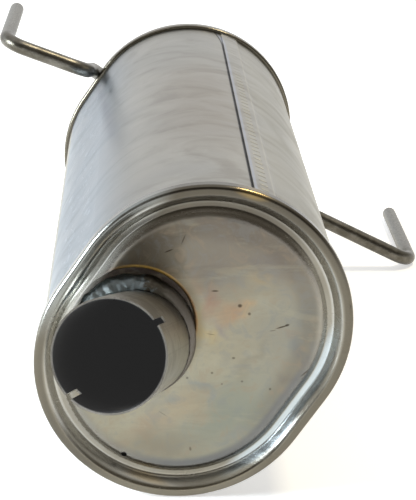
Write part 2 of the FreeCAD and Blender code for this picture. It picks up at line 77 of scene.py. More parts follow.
# The oval section and what lies on the body, in millimetres and degrees
OVAL_TILT = 55.7
HALF_SPREAD = 13.5
ARC_X = 7.608
ARC_Z = 11.152
RIM_RADIUS = 74.2
PANEL_EDGE = 17.0
POCKET_X = -30.3
POCKET_Z = 10.0
POCKET_RADIUS = 32.3
DRAIN_X = -35.7
DRAIN_Z = -62.3
DRAIN_RADIUS = 1.3
DRAIN_BLUR = 0.5
PIN_START = 385.0
SEAM_ANGLE = 71.6
SEAM_FLARE_TURN = 3.1
SEAM_FLARE_START = 364.2
SEAM_FLARE_LENGTH = 42.0
RIDGE_ANGLE = 62.1
# Where the painted dark reflection of the hanger rod runs on the shell
ROD_REFLECTION_ANGLE = 120.0
ROD_REFLECTION_SLANT = 0.082

# Bands on the shell, in degrees: where each begins, is full, starts to fade and ends
CROWN_BAND = (60.0, 84.0, 92.0, 122.0)
IMPRINT_BAND = (142.0, 152.0, 168.0, 176.0)
SEAM_SHADOW_BAND = (-0.3, 0.05, 0.55, 1.0)
LIP_HIGHLIGHT_BAND = (-1.9, -1.1, -0.6, -0.1)
RIDGE_BAND = (-0.6, 0.0, 0.5, 1.1)
TRACK_BAND = (2.6, 3.2, 6.2, 6.9)

# The golden edge of the pocket, in millimetres past its radius, in the same order
POCKET_EDGE = (-1.6, -0.8, -0.2, 0.8)

# Zones round the caps, as oval radii in millimetres, in the same order
SHADE_ZONE = (42.0, 51.0, 56.0, 58.0)
LOW_STEP_ZONE = (52.0, 55.5, 59.5, 61.5)
STEP_ZONE = (54.5, 56.5, 60.0, 61.5)
UPPER_LEFT_LIGHT_ZONE = (54.0, 57.0, 69.0, 71.0)
LOWER_RIGHT_HIGHLIGHT_ZONE = (61.0, 62.5, 66.5, 68.0)
WALL_ZONE = (63.0, 64.5, 68.0, 69.5)

# The rounded wall of the rim, as radius and depth, in millimetres
WALL_STEPS = 90
WALL_SMOOTHING = 2
WALL_PROFILE = (
    (71.6, 0.02), (70.9, -0.03), (70.2, 0.03), (69.5, 0.22), (68.8, 0.62),
    (68.1, 1.25), (67.4, 2.10), (66.7, 3.12), (66.0, 4.25), (65.5, 5.05),
    (65.1, 5.62), (64.7, 6.05), (64.2, 6.33), (63.6, 6.46), (63.0, 6.55),
)

# Weld beads, in metres: the voxels, the ripples' spacing and the radius it is measured at, the
# height of ripples, lumps and pits, and how far the whole bead is sunk
BEAD_VOXEL = 0.0006
BEAD_PITCH = 0.0052
BEAD_TURN = 0.030
BEAD_RIPPLE = 0.00035
BEAD_LUMP = 0.0012
BEAD_PIT = 0.0005
BEAD_SINK = 0.0001

# How fine the beads' wander, lumps and pits are, and how far the ripples wander
WANDER_SCALE = 55.0
LUMP_SCALE = 150.0
PIT_SCALE = 420.0
RIPPLE_WANDER = 1.6

# A pipe's bead is smooth below and at the right: where it gets smooth, and over what length
BEAD_LOW = -0.002
BEAD_LOW_FADE = 0.02
BEAD_RIGHT = 0.024
BEAD_RIGHT_FADE = 0.012

# Dark soot, on screen, and the faint glow that keeps it even
SOOT = (0.18, 0.18, 0.18)
SOOT_GLOW = 0.018

# Relief that is finish only: its height on each material, in metres, and its strength
SHELL_RELIEF = 0.0006
CAP_RELIEF = 0.00012
PIPE_RELIEF = 0.00015
ROD_RELIEF = 0.0002
WELD_RELIEF = 0.00015
BUMP_STRENGTH = 0.6

# How far the tints' edges fray, in millimetres, and how closely the ticks follow each other
TINT_FRAY = 22.0
TICK_TURN = 0.74

# A size so large that depth no longer counts, for places seen from the front
FLAT = 1e6

# Tints on the front panel: x, z, half length, half width, turn, strength, colour on screen
PANEL_TINTS = (
    (18.0, -40.0, 60.0, 34.0, 22.0, 0.90, (0.50, 0.515, 0.475)),
    (48.0, 2.0, 34.0, 46.0, 0.0, 0.70, (0.51, 0.505, 0.47)),
    (62.0, 18.0, 12.0, 24.0, -20.0, 0.55, (0.46, 0.475, 0.465)),
    # These five rows are painted reflection: dark on the upper part and upper left, a light streak
    # at the upper left
    (20.0, 66.0, 80.0, 44.0, -12.0, 0.90, (0.43, 0.405, 0.38)),
    (50.0, 40.0, 34.0, 22.0, -40.0, 0.55, (0.47, 0.445, 0.42)),
    (-28.0, 56.0, 34.0, 26.0, 24.0, 0.70, (0.47, 0.445, 0.39)),
    (-16.0, 46.0, 15.0, 30.0, -8.0, 0.80, (0.39, 0.365, 0.32)),
    (-40.0, 62.0, 14.0, 5.0, 48.0, 0.55, (0.62, 0.60, 0.53)),
    (26.0, 19.0, 7.0, 6.0, 0.0, 0.50, (0.70, 0.60, 0.44)),
    (0.0, 34.0, 6.0, 13.0, 12.0, 0.80, (0.61, 0.525, 0.43)),
    (8.0, 24.0, 6.0, 15.0, -8.0, 0.80, (0.58, 0.465, 0.40)),
    (19.0, 17.0, 15.0, 9.0, 20.0, 0.80, (0.60, 0.495, 0.40)),
    (14.0, 8.0, 10.0, 4.5, -45.0, 0.60, (0.50, 0.47, 0.47)),
    (8.0, 4.0, 8.0, 8.0, 0.0, 0.50, (0.66, 0.59, 0.42)),
    (2.0, 10.0, 5.0, 14.0, 0.0, 0.55, (0.66, 0.58, 0.40)),
    (36.0, 36.0, 8.0, 5.0, 25.0, 0.45, (0.62, 0.56, 0.44)),
    (-6.0, -36.0, 26.0, 14.0, 30.0, 0.65, (0.60, 0.545, 0.46)),
    (-22.0, -46.0, 20.0, 9.0, 20.0, 0.40, (0.59, 0.525, 0.45)),
    (-18.0, -58.0, 34.0, 15.0, 0.0, 0.75, (0.49, 0.465, 0.41)),
    (6.0, -24.0, 10.0, 3.5, -20.0, 0.60, (0.46, 0.49, 0.50)),
    (10.0, -30.0, 3.5, 8.0, -15.0, 0.50, (0.48, 0.50, 0.51)),
    (-56.0, -28.0, 20.0, 8.0, -50.0, 0.45, (0.56, 0.52, 0.49)),
    # These two rows are painted dark reflection on the upper middle
    (8.0, 40.0, 34.0, 26.0, -10.0, 0.85, (0.455, 0.43, 0.40)),
    (34.0, 46.0, 22.0, 7.0, 8.0, 0.55, (0.44, 0.42, 0.41)),
    (54.0, -4.0, 6.0, 14.0, 20.0, 0.60, (0.44, 0.465, 0.475)),
    (50.0, -18.0, 9.0, 5.0, -20.0, 0.50, (0.47, 0.44, 0.41)),
    (30.0, -10.0, 22.0, 5.0, 60.0, 0.45, (0.49, 0.47, 0.42)),
    (-10.0, -30.0, 8.0, 5.0, 10.0, 0.45, (0.47, 0.50, 0.51)),
    (24.0, -52.0, 16.0, 6.0, 35.0, 0.45, (0.47, 0.495, 0.50)),
    (-14.0, -20.0, 9.0, 12.0, -15.0, 0.50, (0.50, 0.48, 0.42)),
)

# The shade on the panel beside the pocket: x, z, half length, half width, turn
PANEL_SHADE = (-24.0, 44.0, 34.0, 30.0, 0.0)

# Dark marks on the front panel: x, z, half length, half width, turn, strength
PANEL_MARKS = (
    (45.3, 8.9, 4.2, 0.55, 17.0, 0.85),
    (48.0, 9.9, 1.6, 0.85, 17.0, 0.80),
    (40.6, 6.9, 2.2, 0.40, 8.0, 0.45),
    (23.6, 20.5, 1.5, 1.3, 0.0, 0.80),
    (28.5, 16.1, 1.1, 1.1, 0.0, 0.65),
    (10.8, 28.5, 2.4, 0.6, 0.0, 0.80),
    (-12.8, 50.0, 3.0, 0.55, 22.0, 0.80),
    (-5.5, 56.0, 3.6, 0.45, 68.0, 0.60),
    (20.8, -8.1, 1.2, 0.9, 0.0, 0.55),
    (9.8, -16.3, 0.9, 0.9, 0.0, 0.55),
    (15.0, -22.5, 0.8, 0.8, 0.0, 0.40),
    (25.4, -21.1, 0.9, 0.8, 0.0, 0.50),
    (40.0, -25.4, 0.9, 0.9, 0.0, 0.55),
    (58.0, -16.5, 4.2, 0.6, 40.0, 0.65),
    (-3.0, -19.0, 0.9, 0.9, 0.0, 0.50),
    (-1.0, -59.0, 0.8, 1.6, 10.0, 0.50),
    (-15.5, -39.0, 3.6, 0.35, -35.0, 0.35),
    (9.0, 5.0, 3.0, 0.4, -10.0, 0.40),
)

# Golden highlights painted on the rolled rim: x, z, half length, half width, turn
RIM_HIGHLIGHTS = (
    (29.0, 80.5, 12.0, 3.4, -16.0),
    (-24.0, -75.0, 16.0, 2.6, -18.0),
)

INNER_PIECES = (
    "inlet_tube", "outlet_tube", "long_return_tube", "short_return_tube", "front_baffle",
    "middle_baffle", "rear_baffle", "steel_wool_sleeve", "wool_pack",
)

# Places worked out from the frame
mounts = {mount["name"]: mount for mount in frame["record"]["mounts"]}
front_low, front_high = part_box("front_end_cap")
CENTRE = Vector(((front_low.x + front_high.x) / 2, front_low.y, (front_low.z + front_high.z) / 2))
PIPE_AXIS = Vector(mounts["inlet"]["axis"]).normalized()
PIPE_POINT = (Vector(mounts["inlet"]["pos_m"]) - CENTRE) * 1000
PIPE_BORE = mounts["inlet"]["dims"]["r_mm"]


def feed(tree, target, inputs):
    """Set a node's inputs. Each one is a value or another node's output."""
    for key, value in inputs.items():
        if isinstance(value, bpy.types.NodeSocket):
            tree.links.new(value, target.inputs[key])
        else:
            target.inputs[key].default_value = value


def node(tree, kind, inputs=None, **settings):
    """Add one node."""
    made = tree.nodes.new(kind)
    for name, value in settings.items():
        setattr(made, name, value)
    feed(tree, made, inputs or {})
    return made


def calc(tree, operation, first, second=0.0):
    """One step of arithmetic."""
    return node(tree, "ShaderNodeMath", {0: first, 1: second}, operation=operation).outputs[0]


def times(tree, first, *others):
    """Values multiplied together."""
    for other in others:
        first = calc(tree, "MULTIPLY", first, other)
    return first


def vector_calc(tree, operation, inputs):
    """One step of vector arithmetic. A length and a dot product come out as a number."""
    outputs = node(tree, "ShaderNodeVectorMath", inputs, operation=operation).outputs
    return outputs["Value"] if operation in ("LENGTH", "DOT_PRODUCT") else outputs[0]


def blend(tree, factor, first, second):
    """Mix two colours."""
    mixed = node(tree, "ShaderNodeMix", {0: factor, 6: first, 7: second}, data_type="RGBA")
    return mixed.outputs[2]


def rgb(*shown):
    """A colour as it shows on screen, turned into light values."""
    light = [c / 12.92 if c <= 0.04045 else ((c + 0.055) / 1.055) ** 2.4 for c in shown]
    return (*light, 1.0)


def place(tree):
    """The point on the surface, in millimetres from the middle of the front rim."""
    at = node(tree, "ShaderNodeTexCoord").outputs["Object"]
    inputs = {"Vector": at, "Location": tuple(CENTRE), "Scale": (0.001,) * 3}
    return node(tree, "ShaderNodeMapping", inputs, vector_type="TEXTURE").outputs[0]


def axes(tree, at):
    """A point's three coordinates, by the names X, Y and Z."""
    return node(tree, "ShaderNodeSeparateXYZ", {0: at}).outputs


def stretched(tree, at, scale, turn):
    """The same place, scaled along each axis and turned, to stretch a pattern."""
    inputs = {"Vector": at, "Scale": scale, "Rotation": turn}
    return node(tree, "ShaderNodeMapping", inputs).outputs[0]


def frayed(tree, at):
    """The same place, moved about by noise, to fray the edges of tints."""
    drift = node(tree, "ShaderNodeTexNoise", {"Vector": at, "Scale": 0.07, "Detail": 5.0})
    drift = vector_calc(tree, "SUBTRACT", {0: drift.outputs["Color"], 1: (0.5, 0.5, 0.5)})
    drift = vector_calc(tree, "SCALE", {0: drift, "Scale": TINT_FRAY})
    return vector_calc(tree, "ADD", {0: at, 1: drift})


def noise(tree, at, scale, detail=4.0, rough=0.55, distortion=0.0):
    """Cloudy noise from 0 to 1."""
    inputs = {"Vector": at, "Scale": scale, "Detail": detail, "Roughness": rough,
              "Distortion": distortion}
    return node(tree, "ShaderNodeTexNoise", inputs).outputs["Fac"]


def spread(tree, value, low, high, start=0.0, end=1.0):
    """Turn the stretch from low to high into start to end, held at both ends."""
    return node(tree, "ShaderNodeMapRange", {0: value, 1: low, 2: high, 3: start, 4: end},
                interpolation_type="SMOOTHSTEP").outputs[0]


def band(tree, value, low, low_full, high_full, high):
    """1 from low_full to high_full, falling to 0 at low and high."""
    return times(tree, spread(tree, value, low, low_full),
                 spread(tree, value, high_full, high, 1.0, 0.0))


def face_distance(tree, at, x, z, half_long=1.0, half_wide=1.0, turn=0.0):
    """The distance from one place, seen from the front: in millimetres, or 1 at an oval's edge."""
    inputs = {"Vector": at, "Location": (x, 0.0, z), "Rotation": (0.0, -math.radians(turn), 0.0),
              "Scale": (half_long, FLAT, half_wide)}
    local = node(tree, "ShaderNodeMapping", inputs, vector_type="TEXTURE").outputs[0]
    return vector_calc(tree, "LENGTH", {0: local})


def spot(tree, at, x, z, half_long, half_wide, turn, core):
    """1 inside a soft oval spot seen from the front, 0 outside."""
    distance = face_distance(tree, at, x, z, half_long, half_wide, turn)
    return spread(tree, distance, core, 1.0, 1.0, 0.0)


def oval_radius(tree, at):
    """How far out a point is in the oval section, from the line between its two arc centres."""
    inputs = {"Vector": at, "Rotation": (0.0, -math.radians(OVAL_TILT), 0.0)}
    local = axes(tree, node(tree, "ShaderNodeMapping", inputs, vector_type="TEXTURE").outputs[0])
    past = calc(tree, "SUBTRACT", calc(tree, "ABSOLUTE", local["X"]), HALF_SPREAD)
    past = calc(tree, "MAXIMUM", past, 0.0)
    squares = calc(tree, "ADD", times(tree, past, past), times(tree, local["Z"], local["Z"]))
    return calc(tree, "SQRT", squares)


def degrees_round(tree, at):
    """The angle round the upper arc of the oval, from the right."""
    parts = axes(tree, at)
    turned = calc(tree, "ARCTAN2", calc(tree, "SUBTRACT", parts["Z"], ARC_Z),
                  calc(tree, "SUBTRACT", parts["X"], ARC_X))
    return calc(tree, "DEGREES", turned)


def towards_upper_left(tree, across, height):
    """How far a point is from the oval's long middle line, towards the upper left."""
    tilt = math.radians(OVAL_TILT)
    return calc(tree, "SUBTRACT", times(tree, height, math.cos(tilt)),
                times(tree, across, math.sin(tilt)))


def seam_line(tree, depth):
    """The angle of the seam's edge, which turns away near the rear."""
    past = node(tree, "ShaderNodeMapRange", {0: depth, 1: SEAM_FLARE_START,
                                             2: SEAM_FLARE_START + SEAM_FLARE_LENGTH}).outputs[0]
    return calc(tree, "ADD", times(tree, past, past, SEAM_FLARE_TURN), SEAM_ANGLE)


def emboss(tree, shader, height, distance):
    """Raise and lower the surface a little, by the height from 0 to 1."""
    inputs = {"Height": height, "Distance": distance, "Strength": BUMP_STRENGTH}
    feed(tree, shader, {"Normal": node(tree, "ShaderNodeBump", inputs).outputs[0]})


def surface(name, metallic=1.0):
    """A material with its tree and shader, of metal unless told otherwise."""
    material = bpy.data.materials.new(name)
    material.use_nodes = True
    tree = material.node_tree
    shader = tree.nodes["Principled BSDF"]
    feed(tree, shader, {"Metallic": metallic})
    return material, tree, shader


def dress(name, material):
    """Give a piece of the frame its finish."""
    for slot in frame["nodes"][name].material_slots:
        slot.link = "OBJECT"
        slot.material = material


def sheet_colour(tree, at, turned, depth, streaks, wisps):
    """The shell's pale sheet: painted bluish light on the left, warmer on the crown, with smears.
    """
    cloud = noise(tree, at, 0.016, 4.0, 0.5, 0.4)
    colour = blend(tree, spread(tree, cloud, 0.38, 0.62),
                   rgb(0.595, 0.59, 0.572), rgb(0.635, 0.628, 0.605))
    # Painted bluish light on the left side, where the smears are also fainter
    left_light = spread(tree, turned, 116.0, 150.0)
    colour = blend(tree, left_light, colour, rgb(0.575, 0.605, 0.635))
    rosy = times(tree, band(tree, turned, *CROWN_BAND),
                 band(tree, depth, 30.0, 150.0, 230.0, 340.0), 0.8)
    colour = blend(tree, rosy, colour, rgb(0.56, 0.535, 0.50))
    smears = times(tree, spread(tree, streaks, 0.50, 0.70),
                   spread(tree, left_light, 0.0, 1.0, 0.50, 0.25))
    colour = blend(tree, smears, colour, rgb(0.52, 0.505, 0.49))
    smears = times(tree, spread(tree, wisps, 0.54, 0.72),
                   spread(tree, left_light, 0.0, 1.0, 0.26, 0.10))
    colour = blend(tree, smears, colour, rgb(0.50, 0.485, 0.47))
    return blend(tree, spread(tree, wisps, 0.32, 0.44, 0.16, 0.0), colour, rgb(0.69, 0.69, 0.67))


def draw_rod_reflection(tree, colour, turned, depth):
    """A soft painted dark reflection of the hanger rod, climbing towards the rear on the left."""
    middle = calc(tree, "ADD", ROD_REFLECTION_ANGLE, times(tree, depth, ROD_REFLECTION_SLANT))
    off = calc(tree, "ABSOLUTE", calc(tree, "SUBTRACT", turned, middle))
    # Painted dark reflection of the rod, fading in towards the rear
    rod_reflection = times(tree, spread(tree, off, 0.0, 6.0, 0.6, 0.0), spread(tree, depth, 120.0, 260.0))
    return blend(tree, rod_reflection, colour, rgb(0.42, 0.44, 0.48))


def draw_seam(tree, colour, turned, depth):
    """The seam's edge in painted shadow, with a painted highlight on the lip beside it."""
    off = calc(tree, "SUBTRACT", turned, seam_line(tree, depth))
    # Painted shadow in the gap at the seam's edge
    seam = times(tree, band(tree, off, *SEAM_SHADOW_BAND), 0.95)
    colour = blend(tree, seam, colour, rgb(0.15, 0.15, 0.16))
    # Painted highlight on the rounded lip of the sheet
    lip = times(tree, band(tree, off, *LIP_HIGHLIGHT_BAND), 0.8)
    return blend(tree, lip, colour, rgb(0.63, 0.65, 0.70))


def draw_track(tree, colour, turned, depth, wisps):
    """The roller's ticked track and the ridge's bright crest, with the mask of the ticks."""
    off = calc(tree, "SUBTRACT", turned, RIDGE_ANGLE)
    track = times(tree, band(tree, off, *TRACK_BAND), spread(tree, depth, 250.0, 330.0, 1.0, 0.2))
    phase = calc(tree, "ADD", times(tree, depth, TICK_TURN), times(tree, wisps, 3.0))
    ticks = times(tree, spread(tree, calc(tree, "SINE", phase), 0.25, 0.8), track)
    colour = blend(tree, times(tree, track, 0.25), colour, rgb(0.70, 0.69, 0.63))
    colour = blend(tree, times(tree, ticks, 0.75), colour, rgb(0.47, 0.46, 0.41))
    crest = times(tree, band(tree, off, *RIDGE_BAND), 0.45)
    return blend(tree, crest, colour, rgb(0.72, 0.71, 0.66)), ticks


def shell_material():
    """Aluminised sheet: pale, satin, smeared; painted shade and highlight at the seam, a rolled
    track by it.
    """
    material, tree, shader = surface("shell_sheet")
    at = place(tree)
    depth = axes(tree, at)["Y"]
    turned = degrees_round(tree, at)
    streaks = stretched(tree, at, (0.016, 0.026, 0.016), (0.0, 0.0, 0.35))
    streaks = noise(tree, streaks, 1.0, 4.0, 0.55, 1.6)
    wisps = stretched(tree, at, (0.026, 0.048, 0.026), (0.0, 0.0, 0.55))
    wisps = noise(tree, wisps, 1.0, 6.0, 0.62, 2.2)
    fine = noise(tree, at, 0.35, 3.0, 0.6)
    imprints = times(tree, spread(tree, noise(tree, at, 0.17, 3.0, 0.6, 0.8), 0.56, 0.64),
                     band(tree, turned, *IMPRINT_BAND))

    colour = sheet_colour(tree, at, turned, depth, streaks, wisps)
    colour = blend(tree, times(tree, imprints, 0.35), colour, rgb(0.74, 0.77, 0.80))
    olive = spread(tree, turned, 66.0, 56.0, 0.0, 0.45)
    colour = blend(tree, olive, colour, rgb(0.635, 0.625, 0.575))
    colour = draw_rod_reflection(tree, colour, turned, depth)
    colour = draw_seam(tree, colour, turned, depth)
    colour, ticks = draw_track(tree, colour, turned, depth, wisps)
    rough = spread(tree, streaks, 0.35, 0.7, 0.36, 0.48)
    feed(tree, shader, {"Base Color": colour, "Roughness": rough})

    height = calc(tree, "ADD", times(tree, ticks, -1.0), times(tree, imprints, 0.5))
    height = calc(tree, "ADD", height, times(tree, fine, 0.05))
    emboss(tree, shader, height, SHELL_RELIEF)
    return material


def tint_panel(tree, at, colour):
    """Lay on the panel's heat tints, the painted reflection high up, and painted shade by the
    pocket.
    """
    loose = frayed(tree, at)
    for *oval, strength, tint in PANEL_TINTS:
        mask = times(tree, spot(tree, loose, *oval, core=0.0), strength)
        colour = blend(tree, mask, colour, rgb(*tint))
    lee = times(tree, spot(tree, loose, *PANEL_SHADE, core=0.3),
                spread(tree, axes(tree, loose)["X"], -8.0, -3.0, 0.6, 0.0))
    return blend(tree, lee, colour, rgb(0.40, 0.375, 0.33))


def tint_pocket(tree, at, across, height, colour):
    """Lay the burnt and golden edge round the pocket, and its dull inside with the mask of it."""
    past = calc(tree, "SUBTRACT", face_distance(tree, at, POCKET_X, POCKET_Z), POCKET_RADIUS)
    halo = spread(tree, past, 0.0, 6.0, 0.5, 0.0)
    colour = blend(tree, halo, colour, rgb(0.36, 0.31, 0.23))
    edge = band(tree, past, *POCKET_EDGE)
    burnt = times(tree, edge, spread(tree, height, 0.0, 12.0, 0.0, 0.8))
    colour = blend(tree, burnt, colour, rgb(0.50, 0.38, 0.25))
    aside = calc(tree, "ABSOLUTE", calc(tree, "SUBTRACT", across, POCKET_X + 8.0))
    # The golden edge at the top: heat tint with a painted highlight on the rim's fold
    gold_tint_and_highlight = times(tree, edge, spread(tree, aside, 4.0, 20.0, 0.95, 0.0),
                 spread(tree, height, 20.0, 30.0))
    colour = blend(tree, gold_tint_and_highlight, colour, rgb(0.90, 0.74, 0.40))
    # The pocket's dark inside: oxide with painted shade in the recess
    inside = spread(tree, past, -2.6, -1.4, 0.95, 0.0)
    return blend(tree, inside, colour, rgb(0.30, 0.25, 0.225)), inside


def shade_panel(tree, at, across, height, radius, colour):
    """Darken the panel's edge above and at the right, and mottle the whole panel."""
    side = calc(tree, "MAXIMUM", spread(tree, height, 0.0, 45.0),
                spread(tree, across, 20.0, 45.0, 0.0, 0.8))
    shade = times(tree, band(tree, radius, *SHADE_ZONE), side,
                  spread(tree, across, -45.0, -5.0, 0.15, 0.55))
    colour = blend(tree, shade, colour, rgb(0.40, 0.37, 0.335))
    mottle = noise(tree, at, 0.085, 7.0, 0.66, 1.4)
    cold = spread(tree, mottle, 0.50, 0.64, 0.0, 0.32)
    colour = blend(tree, cold, colour, rgb(0.475, 0.485, 0.485))
    warm = spread(tree, mottle, 0.36, 0.48, 0.32, 0.0)
    return blend(tree, warm, colour, rgb(0.55, 0.49, 0.42))


def tint_rim(tree, height, aslant, radius, step, colour):
    """The front rim: painted dark reflection above, painted highlights below, at lower right and
    upper left.
    """
    # Painted dark reflection on the top of the rim, left off the panel's step
    top_shade = times(tree, spread(tree, height, 35.0, 72.0, 0.0, 0.8),
                 calc(tree, "SUBTRACT", 1.0, step))
    colour = blend(tree, top_shade, colour, rgb(0.32, 0.30, 0.265))
    # Painted warm highlight along the bottom of the rim
    warm = spread(tree, height, -62.0, -80.0, 0.0, 0.45)
    colour = blend(tree, warm, colour, rgb(0.58, 0.55, 0.48))
    # Painted bluish highlight on the groove's wall at the lower right
    lower_right_highlight = times(tree, spread(tree, aslant, -52.0, -60.0, 0.0, 0.6),
                    band(tree, radius, *LOWER_RIGHT_HIGHLIGHT_ZONE))
    colour = blend(tree, lower_right_highlight, colour, rgb(0.82, 0.88, 0.92))
    # Painted highlights at the upper left, in the groove and on the raised crest
    pale = times(tree, spread(tree, aslant, 52.0, 64.0, 0.0, 0.9), spread(tree, height, 0.0, 30.0))
    sunk = times(tree, pale, band(tree, radius, *UPPER_LEFT_LIGHT_ZONE))
    colour = blend(tree, sunk, colour, rgb(0.86, 0.87, 0.86))
    raised = times(tree, pale, spread(tree, radius, 69.0, 71.0))
    return blend(tree, raised, colour, rgb(0.58, 0.59, 0.58))


def mark_front(tree, at, colour):
    """Lay on the rim's painted golden highlights, the drain hole's painted shade and the panel's
    dark marks.
    """
    # Painted golden highlights on the rim
    for oval in RIM_HIGHLIGHTS:
        mask = times(tree, spot(tree, at, *oval, core=0.2), 0.35)
        colour = blend(tree, mask, colour, rgb(0.76, 0.64, 0.38))
    # The drain hole, painted near black as the shade inside it
    drain = spread(tree, face_distance(tree, at, DRAIN_X, DRAIN_Z),
                   DRAIN_RADIUS, DRAIN_RADIUS + DRAIN_BLUR, 1.0, 0.0)
    colour = blend(tree, drain, colour, rgb(0.03, 0.03, 0.03))
    for *oval, strength in PANEL_MARKS:
        mask = times(tree, spot(tree, at, *oval, core=0.35), strength)
        colour = blend(tree, mask, colour, rgb(0.20, 0.16, 0.13))
    return colour


def cap_material(front):
    """Pressed sheet: warm grey with patches, greyer on the rim, tinted and marked in front."""
    material, tree, shader = surface("front_sheet" if front else "rear_sheet")
    at = place(tree)
    parts = axes(tree, at)
    across, height = parts["X"], parts["Z"]
    radius = oval_radius(tree, at)
    patches = noise(tree, at, 0.035, 4.0, 0.55, 0.6)
    rubs = stretched(tree, at, (0.02, 0.02, 0.09), (0.0, 0.5, 0.0))
    rubs = noise(tree, rubs, 1.0, 5.0, 0.65, 0.9)
    grain = noise(tree, at, 0.6, 4.0, 0.6)

    colour = blend(tree, spread(tree, patches, 0.38, 0.62),
                   rgb(0.575, 0.555, 0.485), rgb(0.59, 0.575, 0.51))
    if front:
        colour = tint_panel(tree, at, colour)
        colour, pocket = tint_pocket(tree, at, across, height, colour)
        colour = shade_panel(tree, at, across, height, radius, colour)
        feed(tree, shader, {"Metallic": calc(tree, "SUBTRACT", 1.0, times(tree, pocket, 0.6))})
    colour = blend(tree, spread(tree, rubs, 0.52, 0.66, 0.0, 0.22), colour, rgb(0.66, 0.64, 0.56))
    colour = blend(tree, spread(tree, rubs, 0.34, 0.46, 0.22, 0.0), colour, rgb(0.48, 0.46, 0.41))

    step = band(tree, radius, *STEP_ZONE)
    rim_colour = blend(tree, spread(tree, patches, 0.35, 0.65),
                       rgb(0.53, 0.51, 0.465), rgb(0.58, 0.565, 0.525))
    # The groove's wall and the panel's step are painted lighter, as painted light against their
    # dark reflections
    rim_colour = blend(tree, band(tree, radius, *WALL_ZONE), rim_colour, rgb(0.70, 0.695, 0.67))
    rim_colour = blend(tree, step, rim_colour, rgb(0.62, 0.60, 0.565))
    if front:
        aslant = towards_upper_left(tree, across, height)
        # Painted dark reflection on the panel's step at the lower right and the bottom
        low_step_shade = times(tree, band(tree, radius, *LOW_STEP_ZONE),
                         spread(tree, height, 10.0, -25.0),
                         spread(tree, aslant, 10.0, -35.0, 0.25, 0.8))
        step_shade_colour = rgb(0.42, 0.425, 0.43)
        colour = blend(tree, low_step_shade, colour, step_shade_colour)
        rim_colour = blend(tree, low_step_shade, rim_colour, step_shade_colour)
    crest = spread(tree, radius, 68.6, 70.4)
    rim_colour = blend(tree, crest, rim_colour, rgb(0.395, 0.375, 0.335))
    if front:
        rim_colour = tint_rim(tree, height, aslant, radius, step, rim_colour)
    rim = spread(tree, radius, RIM_RADIUS - PANEL_EDGE - 3.0, RIM_RADIUS - PANEL_EDGE + 3.0)
    colour = blend(tree, times(tree, rim, 0.9), colour, rim_colour)
    if front:
        colour = mark_front(tree, at, colour)

    rough = calc(tree, "ADD", spread(tree, rubs, 0.3, 0.7, 0.30, 0.42), times(tree, rim, -0.13))
    feed(tree, shader, {"Base Color": colour, "Roughness": rough})
    relief = times(tree, calc(tree, "ADD", times(tree, grain, 0.05), rubs),
                   spread(tree, radius, 46.0, 53.0, 1.0, 0.0))
    emboss(tree, shader, relief, CAP_RELIEF)
    return material


def pipe_material():
    """Drawn tube with fine rings and lengthwise lines, painted shade above, black with soot inside.
    """
    material, tree, shader = surface("pipe_tube")
    at = place(tree)
    offset = vector_calc(tree, "SUBTRACT", {0: at, 1: tuple(PIPE_POINT)})
    along = vector_calc(tree, "DOT_PRODUCT", {0: offset, 1: tuple(PIPE_AXIS)})
    outward = vector_calc(tree, "CROSS_PRODUCT", {0: offset, 1: tuple(PIPE_AXIS)})
    radius = vector_calc(tree, "LENGTH", {0: outward})
    rings = noise(tree, node(tree, "ShaderNodeCombineXYZ", {0: along}).outputs[0], 0.9, 4.0, 0.7)
    lines = noise(tree, vector_calc(tree, "SCALE", {0: outward, "Scale": 0.35}), 1.0, 5.0, 0.7)
    stain = noise(tree, at, 0.07, 4.0, 0.6, 0.5)
    colour = blend(tree, spread(tree, stain, 0.35, 0.65),
                   rgb(0.68, 0.67, 0.645), rgb(0.76, 0.75, 0.73))
    colour = blend(tree, spread(tree, rings, 0.42, 0.62, 0.0, 0.30), colour, rgb(0.66, 0.645, 0.59))
    colour = blend(tree, spread(tree, lines, 0.50, 0.66, 0.0, 0.30), colour, rgb(0.42, 0.395, 0.36))
    # Darker smears on the upper side, which also stand in for painted shade there
    upper_smear_and_shade = times(tree, spread(tree, axes(tree, at)["Z"], 2.0, 16.0),
                  spread(tree, stain, 0.42, 0.58, 0.05, 0.60))
    colour = blend(tree, upper_smear_and_shade, colour, rgb(0.47, 0.45, 0.425))
    inside = spread(tree, radius, PIPE_BORE + 0.1, PIPE_BORE + 0.5, 1.0, 0.0)
    feed(tree, shader, {
        "Base Color": blend(tree, inside, colour, rgb(*SOOT)),
        "Metallic": spread(tree, inside, 0.0, 1.0, 1.0, 0.0),
        "Roughness": spread(tree, inside, 0.0, 1.0, 0.36, 0.9),
        "Emission Color": WHITE,
        "Emission Strength": times(tree, inside, SOOT_GLOW),
    })
    emboss(tree, shader, calc(tree, "ADD", rings, lines), PIPE_RELIEF)
    return material


def rod_material():
    """Dark drawn rod, paler and duller on the pins that hold the rubber hangers."""
    material, tree, shader = surface("rod_bar")
    at = place(tree)
    stain = noise(tree, at, 0.10, 5.0, 0.65)
    fine = noise(tree, at, 0.8, 4.0, 0.6)
    colour = blend(tree, spread(tree, stain, 0.35, 0.65),
                   rgb(0.355, 0.34, 0.305), rgb(0.46, 0.445, 0.415))
    worn = blend(tree, spread(tree, fine, 0.35, 0.65),
                 rgb(0.50, 0.495, 0.485), rgb(0.60, 0.595, 0.575))
    pin = spread(tree, axes(tree, at)["Y"], PIN_START, PIN_START + 25.0)
    feed(tree, shader, {
        "Base Color": blend(tree, pin, colour, worn),
        "Roughness": spread(tree, pin, 0.0, 1.0, 0.30, 0.46),
    })
    emboss(tree, shader, fine, ROD_RELIEF)
    return material


